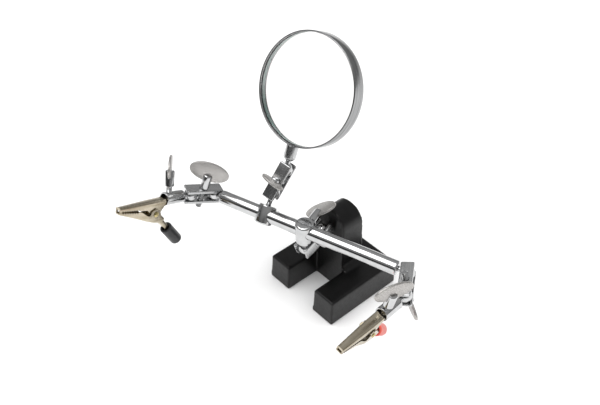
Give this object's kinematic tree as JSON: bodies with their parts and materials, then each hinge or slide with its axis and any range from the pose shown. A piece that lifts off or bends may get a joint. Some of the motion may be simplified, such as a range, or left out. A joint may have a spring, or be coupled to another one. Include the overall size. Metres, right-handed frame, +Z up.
{
  "type": "helping hands clamp",
  "caption": "Third-hand bench clamp: cast base, ball-jointed cross bar, round magnifier and two spring clips held by wing bolts.",
  "frame": {"origin": "centre of the base's footprint, on the table", "axes": "+Z up, +X to the right across the base's two legs, +Y towards the closed back of the base"},
  "size_m": [0.1558, 0.1366, 0.1557],
  "materials": {
    "black_enamel": "semi-gloss black enamel on cast iron",
    "chrome": "bright chrome plate",
    "zinc_plate": "satin nickel plate",
    "clip_nickel": "bright warm nickel plate",
    "spring_steel": "yellow-passivated steel",
    "lens_glass": "polished clear glass",
    "black_vinyl": "black dipped vinyl",
    "red_vinyl": "red dipped vinyl"
  },
  "bodies": {
    "base": {"base_casting": "black_enamel"},
    "base_ball_stud": {"base_ball_stud": "chrome"},
    "base_plates": {"base_left_plate": "zinc_plate", "base_right_plate": "zinc_plate"},
    "base_wing_bolt": {"base_joint_bolt": "chrome", "base_joint_wing": "zinc_plate"},
    "tee_ball_stud": {"tee_ball_stud": "chrome"},
    "tee_sleeve": {"tee_sleeve": "chrome"},
    "tee_wing_bolt": {"tee_clamp_bolt": "chrome", "tee_clamp_wing": "zinc_plate"},
    "cross_bar": {"cross_bar": "chrome"},
    "magnifier_collar": {"magnifier_collar": "chrome"},
    "collar_wing_bolt": {"collar_clamp_bolt": "chrome", "collar_clamp_wing": "zinc_plate"},
    "collar_ball_stud": {"collar_ball_stud": "chrome"},
    "magnifier_plates": {"magnifier_near_plate": "zinc_plate", "magnifier_far_plate": "zinc_plate"},
    "magnifier_wing_bolt": {"magnifier_joint_bolt": "chrome", "magnifier_joint_wing": "zinc_plate"},
    "lens_ball_stud": {"lens_ball_stud": "chrome"},
    "lens": {"lens_socket": "chrome", "lens_rim": "chrome", "lens_glass": "lens_glass"},
    "left_bar_ball_stud": {"left_bar_ball_stud": "chrome"},
    "left_plates": {"left_upper_plate": "zinc_plate", "left_lower_plate": "zinc_plate"},
    "left_wing_bolt": {"left_joint_bolt": "chrome", "left_joint_wing": "zinc_plate"},
    "left_ferrule_ball_stud": {"left_ferrule_ball_stud": "chrome"},
    "left_ferrule": {"left_ferrule": "chrome"},
    "left_ferrule_wing_bolt": {"left_ferrule_bolt": "chrome", "left_ferrule_wing": "zinc_plate"},
    "left_clip": {"left_clip_fixed_jaw": "clip_nickel", "left_clip_pivot_pin": "spring_steel", "left_clip_spring": "spring_steel"},
    "left_clip_moving_jaw": {"left_clip_moving_jaw": "clip_nickel", "left_clip_grip": "black_vinyl"},
    "right_bar_ball_stud": {"right_bar_ball_stud": "chrome"},
    "right_plates": {"right_upper_plate": "zinc_plate", "right_lower_plate": "zinc_plate"},
    "right_wing_bolt": {"right_joint_bolt": "chrome", "right_joint_wing": "zinc_plate"},
    "right_ferrule_ball_stud": {"right_ferrule_ball_stud": "chrome"},
    "right_ferrule": {"right_ferrule": "chrome"},
    "right_ferrule_wing_bolt": {"right_ferrule_bolt": "chrome", "right_ferrule_wing": "zinc_plate"},
    "right_clip": {"right_clip_fixed_jaw": "clip_nickel", "right_clip_pivot_pin": "spring_steel", "right_clip_spring": "spring_steel"},
    "right_clip_moving_jaw": {"right_clip_moving_jaw": "clip_nickel", "right_clip_grip": "red_vinyl"}
  },
  "joints": [
    {"name": "base_twist", "type": "hinge", "parent": "base", "child": "base_ball_stud", "pos_m": [-0.0018, -0.0093, 0.0469], "axis": [0, 1, 0], "range_deg": [-30, 30]},
    {"name": "base_swing", "type": "hinge", "parent": "base_ball_stud", "child": "base_plates", "pos_m": [-0.0018, -0.0093, 0.0469], "axis": [0.9931, 0.0687, 0.0946], "range_deg": [-3, 45]},
    {"name": "sleeve_swing", "type": "hinge", "parent": "base_plates", "child": "tee_ball_stud", "pos_m": [-0.0004, -0.02396, 0.04286], "axis": [-0.9931, -0.0687, -0.0946], "range_deg": [-18, 1]},
    {"name": "sleeve_twist", "type": "hinge", "parent": "tee_ball_stud", "child": "tee_sleeve", "pos_m": [-0.0004, -0.02396, 0.04286], "axis": [-0.0268, 0.0829, -0.9962], "range_deg": [-2, 6]},
    {"name": "bar_slide", "type": "slide", "parent": "tee_sleeve", "child": "cross_bar", "axis": [0.9516, 0.3074, 0], "range_m": [-0.025, 0.001]},
    {"name": "collar_slide", "type": "slide", "parent": "cross_bar", "child": "magnifier_collar", "axis": [-0.9516, -0.3074, 0], "range_m": [-0.001, 0.02]},
    {"name": "collar_twist", "type": "hinge", "parent": "magnifier_collar", "child": "collar_ball_stud", "pos_m": [-0.02798, -0.02478, 0.06853], "axis": [-0.1976, 0.6117, 0.766], "range_deg": [-180, 180]},
    {"name": "magnifier_swing", "type": "hinge", "parent": "collar_ball_stud", "child": "magnifier_plates", "pos_m": [-0.02798, -0.02478, 0.06853], "axis": [-0.306, 0.7965, -0.5214], "range_deg": [-35, 60]},
    {"name": "lens_swing", "type": "hinge", "parent": "magnifier_plates", "child": "lens_ball_stud", "pos_m": [-0.0269, -0.01602, 0.08127], "axis": [-0.306, 0.7965, -0.5214], "range_deg": [-25, 15]},
    {"name": "lens_twist", "type": "hinge", "parent": "lens_ball_stud", "child": "lens", "pos_m": [-0.0269, -0.01602, 0.08127], "axis": [-0.0903, 0.4414, 0.8928], "range_deg": [-180, 180]},
    {"name": "left_bar_end_twist", "type": "hinge", "parent": "cross_bar", "child": "left_bar_ball_stud", "pos_m": [-0.05995, -0.04456, 0.0578], "axis": [0.9516, 0.3074, 0], "range_deg": [-60, 90]},
    {"name": "left_arm_swing", "type": "hinge", "parent": "left_bar_ball_stud", "child": "left_plates", "pos_m": [-0.05995, -0.04456, 0.0578], "axis": [-0.1437, -0.2877, -0.9469], "range_deg": [-39, 6]},
    {"name": "left_ferrule_swing", "type": "hinge", "parent": "left_plates", "child": "left_ferrule_ball_stud", "pos_m": [-0.06367, -0.05879, 0.06269], "axis": [0.1437, 0.2877, 0.9469], "range_deg": [-60, 60]},
    {"name": "left_ferrule_twist", "type": "hinge", "parent": "left_ferrule_ball_stud", "child": "left_ferrule", "pos_m": [-0.06367, -0.05879, 0.06269], "axis": [0.0602, -0.9183, 0.3914], "range_deg": [-180, 180]},
    {"name": "left_clip_pull", "type": "slide", "parent": "left_ferrule", "child": "left_clip", "axis": [0.0602, -0.9183, 0.3914], "range_m": [0, 0.006]},
    {"name": "left_clip_squeeze", "type": "hinge", "parent": "left_clip", "child": "left_clip_moving_jaw", "pos_m": [-0.06073, -0.08743, 0.06764], "axis": [0.9816, 0.1257, 0.144], "range_deg": [0, 26], "stiffness_Nm_per_rad": 0.15, "springref_deg": -22.92, "deforming": ["left_clip_spring"]},
    {"name": "right_bar_end_twist", "type": "hinge", "parent": "cross_bar", "child": "right_bar_ball_stud", "pos_m": [0.06166, -0.00528, 0.0578], "axis": [-0.9516, -0.3074, 0], "range_deg": [-60, 60]},
    {"name": "right_arm_swing", "type": "hinge", "parent": "right_bar_ball_stud", "child": "right_plates", "pos_m": [0.06166, -0.00528, 0.0578], "axis": [0.107, 0.1868, -0.9766], "range_deg": [-60, 35]},
    {"name": "right_ferrule_swing", "type": "hinge", "parent": "right_plates", "child": "right_ferrule_ball_stud", "pos_m": [0.07092, -0.01764, 0.05645], "axis": [0.107, 0.1868, -0.9766], "range_deg": [-60, 3]},
    {"name": "right_ferrule_twist", "type": "hinge", "parent": "right_ferrule_ball_stud", "child": "right_ferrule", "pos_m": [0.07092, -0.01764, 0.05645], "axis": [0.0902, -0.9927, 0.0802], "range_deg": [-180, 180]},
    {"name": "right_clip_pull", "type": "slide", "parent": "right_ferrule", "child": "right_clip", "axis": [0.0902, -0.9927, 0.0802], "range_m": [0, 0.006]},
    {"name": "right_clip_squeeze", "type": "hinge", "parent": "right_clip", "child": "right_clip_moving_jaw", "pos_m": [0.0719, -0.04651, 0.05216], "axis": [0.9681, 0.0685, -0.2411], "range_deg": [0, 23], "stiffness_Nm_per_rad": 0.15, "springref_deg": -22.92, "deforming": ["right_clip_spring"]},
    {"name": "base_wing_turn", "type": "hinge", "parent": "base_plates", "child": "base_wing_bolt", "pos_m": [-0.0011, -0.01663, 0.04488], "axis": [-0.9931, -0.0687, -0.0946], "range_deg": [-15, 12]},
    {"name": "sleeve_wing_turn", "type": "hinge", "parent": "tee_sleeve", "child": "tee_wing_bolt", "pos_m": [0, -0.0252, 0.0578], "axis": [-0.3062, 0.948, 0.0872], "range_deg": [-25, 12]},
    {"name": "collar_wing_turn", "type": "hinge", "parent": "magnifier_collar", "child": "collar_wing_bolt", "pos_m": [-0.02522, -0.03334, 0.0578], "axis": [-0.2354, 0.729, -0.6428], "range_deg": [-120, 5]},
    {"name": "magnifier_wing_turn", "type": "hinge", "parent": "magnifier_plates", "child": "magnifier_wing_bolt", "pos_m": [-0.02744, -0.0204, 0.0749], "axis": [0.306, -0.7965, 0.5214], "range_deg": [-180, 180]},
    {"name": "left_wing_turn", "type": "hinge", "parent": "left_plates", "child": "left_wing_bolt", "pos_m": [-0.06181, -0.05168, 0.06024], "axis": [0.1437, 0.2877, 0.9469], "range_deg": [-180, 180]},
    {"name": "left_ferrule_wing_turn", "type": "hinge", "parent": "left_ferrule", "child": "left_ferrule_wing_bolt", "pos_m": [-0.06266, -0.07422, 0.06926], "axis": [-0.283, 0.3603, 0.8889], "range_deg": [-180, 180]},
    {"name": "right_wing_turn", "type": "hinge", "parent": "right_plates", "child": "right_wing_bolt", "pos_m": [0.06629, -0.01146, 0.05713], "axis": [0.107, 0.1868, -0.9766], "range_deg": [-180, 180]},
    {"name": "right_ferrule_wing_turn", "type": "hinge", "parent": "right_ferrule", "child": "right_ferrule_wing_bolt", "pos_m": [0.07244, -0.03432, 0.0578], "axis": [0.1658, 0.0944, 0.9816], "range_deg": [-180, 180]}
  ]
}
